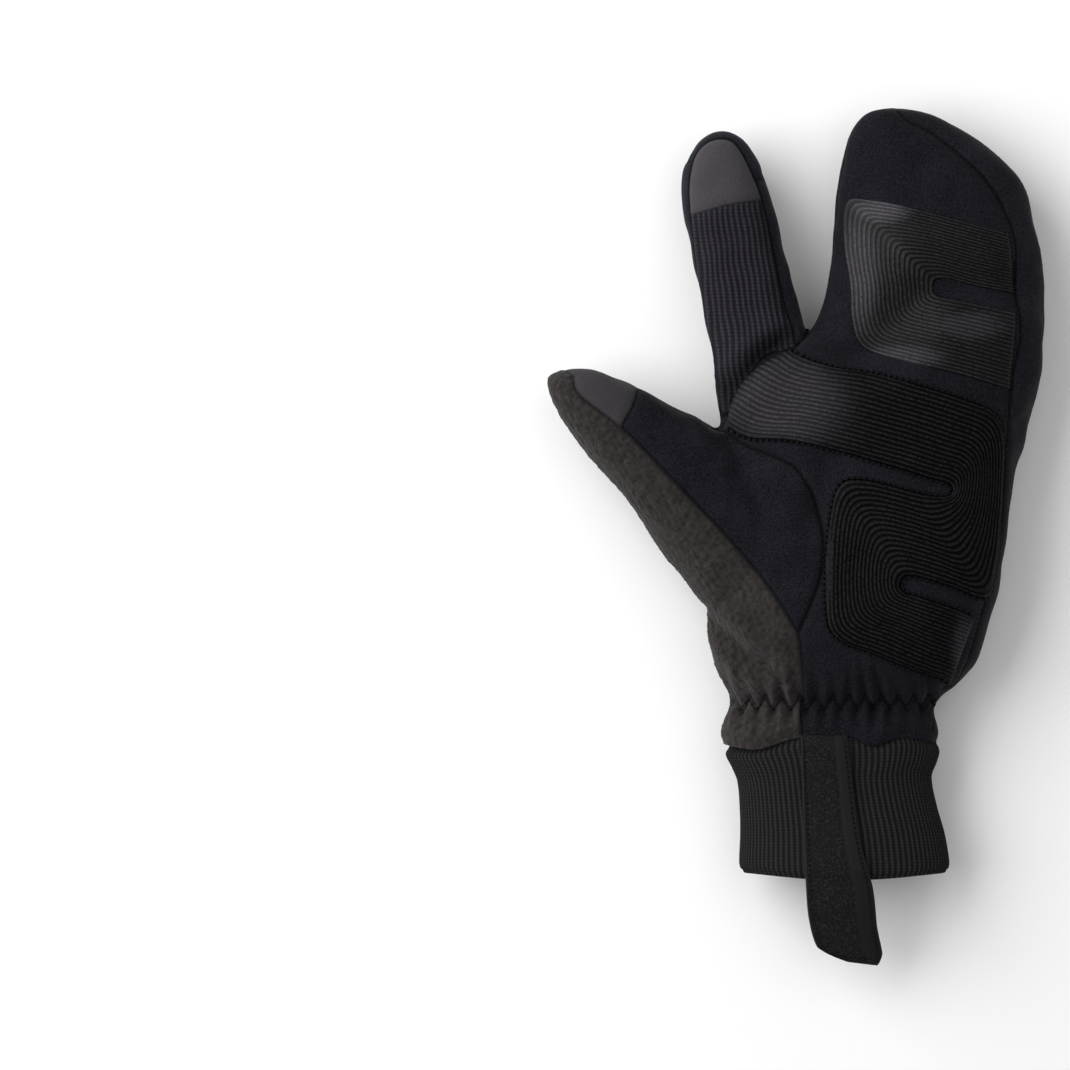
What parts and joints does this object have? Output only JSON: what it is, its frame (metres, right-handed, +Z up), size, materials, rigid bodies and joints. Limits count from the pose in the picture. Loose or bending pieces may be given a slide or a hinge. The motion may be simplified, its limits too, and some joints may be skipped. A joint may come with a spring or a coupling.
{
  "type": "lobster claw mitt",
  "caption": "Padded winter mitt with separate thumb and index finger, a shared pocket for the other fingers, ribbed grip patches, knit cuff and pull tab.",
  "frame": {"origin": "on the surface the mitt rests on, under the middle of the palm", "axes": "+Z up out of the palm, +Y towards the fingertips, thumb towards -X"},
  "size_m": [0.1836, 0.3193, 0.0463],
  "materials": {
    "back_weave": "fine dotted softshell weave, matt",
    "side_softshell": "smooth stretch softshell, matt",
    "palm_softshell": "brushed softshell, matt",
    "palm_grip": "raised ribs on padded knit, slight sheen",
    "pocket_grip": "printed grip ribs, satin",
    "index_rib": "ribbed knit with grip lines",
    "touch_patch": "smooth synthetic suede",
    "fleece": "short pile fleece",
    "piping": "reflective tape",
    "cuff_knit": "double rib knit",
    "tab_twill": "folded twill strap with edge stitching"
  },
  "bodies": {
    "root": {"back_panel": "back_weave", "outer_side_strip": "side_softshell", "pocket_gusset": "side_softshell", "palm_panel": "palm_softshell", "palm_grip_patch": "palm_grip", "pocket_grip_patch": "pocket_grip", "index_back_panel": "side_softshell", "index_outer_strip": "side_softshell", "index_inner_strip": "side_softshell", "index_rib_panel": "index_rib", "index_touch_tip": "touch_patch", "thumb_front_panel": "palm_softshell", "thumb_touch_tip": "touch_patch", "thumb_fleece_panel": "fleece", "reflective_piping": "piping", "knit_cuff": "cuff_knit", "pull_tab": "tab_twill"}
  },
  "joints": []
}
